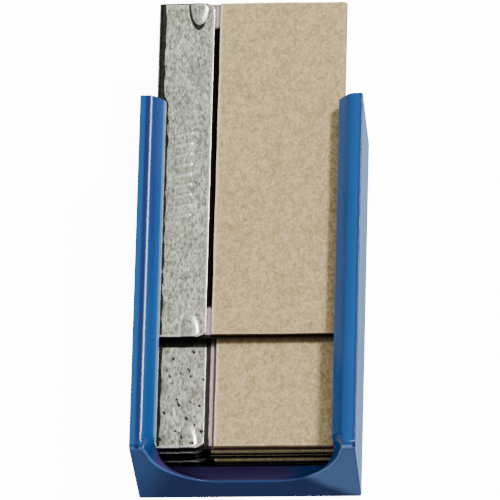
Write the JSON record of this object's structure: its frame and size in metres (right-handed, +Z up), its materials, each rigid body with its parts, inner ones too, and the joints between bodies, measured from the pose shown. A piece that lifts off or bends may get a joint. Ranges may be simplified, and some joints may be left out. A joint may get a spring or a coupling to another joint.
{
  "type": "single-edge blade tray",
  "caption": "Open-fronted moulded plastic tray with lipped sides and a thumb notch, holding a stack of single-edge blades in folded board sleeves, the top one part way out.",
  "frame": {"origin": "centre of the tray's flat underside", "axes": "+Z up out of the tray's open front, +Y towards its open end, +X from the blades' spines towards their cutting edges"},
  "size_m": [0.0228, 0.0521, 0.0117],
  "materials": {
    "tray_plastic": "glossy injection-moulded blue polystyrene",
    "blade_steel": "bright rolled carbon steel with a ground edge",
    "spine_steel": "mottled tinned steel strip, folded and crimped",
    "sleeve_board": "uncoated kraft chipboard"
  },
  "bodies": {
    "tray": {"tray": "tray_plastic"},
    "blade_01": {"blade_01": "blade_steel", "spine_01": "spine_steel"},
    "sleeve_01": {"sleeve_01": "sleeve_board"},
    "blade_02": {"blade_02": "blade_steel", "spine_02": "spine_steel"},
    "sleeve_02": {"sleeve_02": "sleeve_board"},
    "blade_03": {"blade_03": "blade_steel", "spine_03": "spine_steel"},
    "sleeve_03": {"sleeve_03": "sleeve_board"},
    "blade_04": {"blade_04": "blade_steel", "spine_04": "spine_steel"},
    "sleeve_04": {"sleeve_04": "sleeve_board"},
    "blade_05": {"blade_05": "blade_steel", "spine_05": "spine_steel"},
    "sleeve_05": {"sleeve_05": "sleeve_board"},
    "blade_06": {"blade_06": "blade_steel", "spine_06": "spine_steel"},
    "sleeve_06": {"sleeve_06": "sleeve_board"},
    "blade_07": {"blade_07": "blade_steel", "spine_07": "spine_steel"},
    "sleeve_07": {"sleeve_07": "sleeve_board"}
  },
  "joints": [
    {"name": "blade_01_slide", "type": "slide", "parent": "tray", "child": "blade_01", "axis": [0, 1, 0], "range_m": [-0.00012, 0.03855]},
    {"name": "sleeve_01_slide", "type": "slide", "parent": "blade_01", "child": "sleeve_01", "axis": [0, 1, 0], "range_m": [0, 0.0382]},
    {"name": "blade_02_slide", "type": "slide", "parent": "tray", "child": "blade_02", "axis": [0, 1, 0], "range_m": [-0.00017, 0.0385]},
    {"name": "sleeve_02_slide", "type": "slide", "parent": "blade_02", "child": "sleeve_02", "axis": [0, 1, 0], "range_m": [0, 0.0382]},
    {"name": "blade_03_slide", "type": "slide", "parent": "tray", "child": "blade_03", "axis": [0, 1, 0], "range_m": [-0.00008, 0.03859]},
    {"name": "sleeve_03_slide", "type": "slide", "parent": "blade_03", "child": "sleeve_03", "axis": [0, 1, 0], "range_m": [0, 0.0382]},
    {"name": "blade_04_slide", "type": "slide", "parent": "tray", "child": "blade_04", "axis": [0, 1, 0], "range_m": [-0.0002, 0.03847]},
    {"name": "sleeve_04_slide", "type": "slide", "parent": "blade_04", "child": "sleeve_04", "axis": [0, 1, 0], "range_m": [0, 0.0382]},
    {"name": "blade_05_slide", "type": "slide", "parent": "tray", "child": "blade_05", "axis": [0, 1, 0], "range_m": [-0.00004, 0.03863]},
    {"name": "sleeve_05_slide", "type": "slide", "parent": "blade_05", "child": "sleeve_05", "axis": [0, 1, 0], "range_m": [0, 0.0382]},
    {"name": "blade_06_slide", "type": "slide", "parent": "tray", "child": "blade_06", "axis": [0, 1, 0], "range_m": [-0.00014, 0.03853]},
    {"name": "sleeve_06_slide", "type": "slide", "parent": "blade_06", "child": "sleeve_06", "axis": [0, 1, 0], "range_m": [0, 0.0382]},
    {"name": "blade_07_slide", "type": "slide", "parent": "tray", "child": "blade_07", "axis": [0, 1, 0], "range_m": [-0.01206, 0.02661]},
    {"name": "sleeve_07_slide", "type": "slide", "parent": "blade_07", "child": "sleeve_07", "axis": [0, 1, 0], "range_m": [0, 0.0382]}
  ]
}
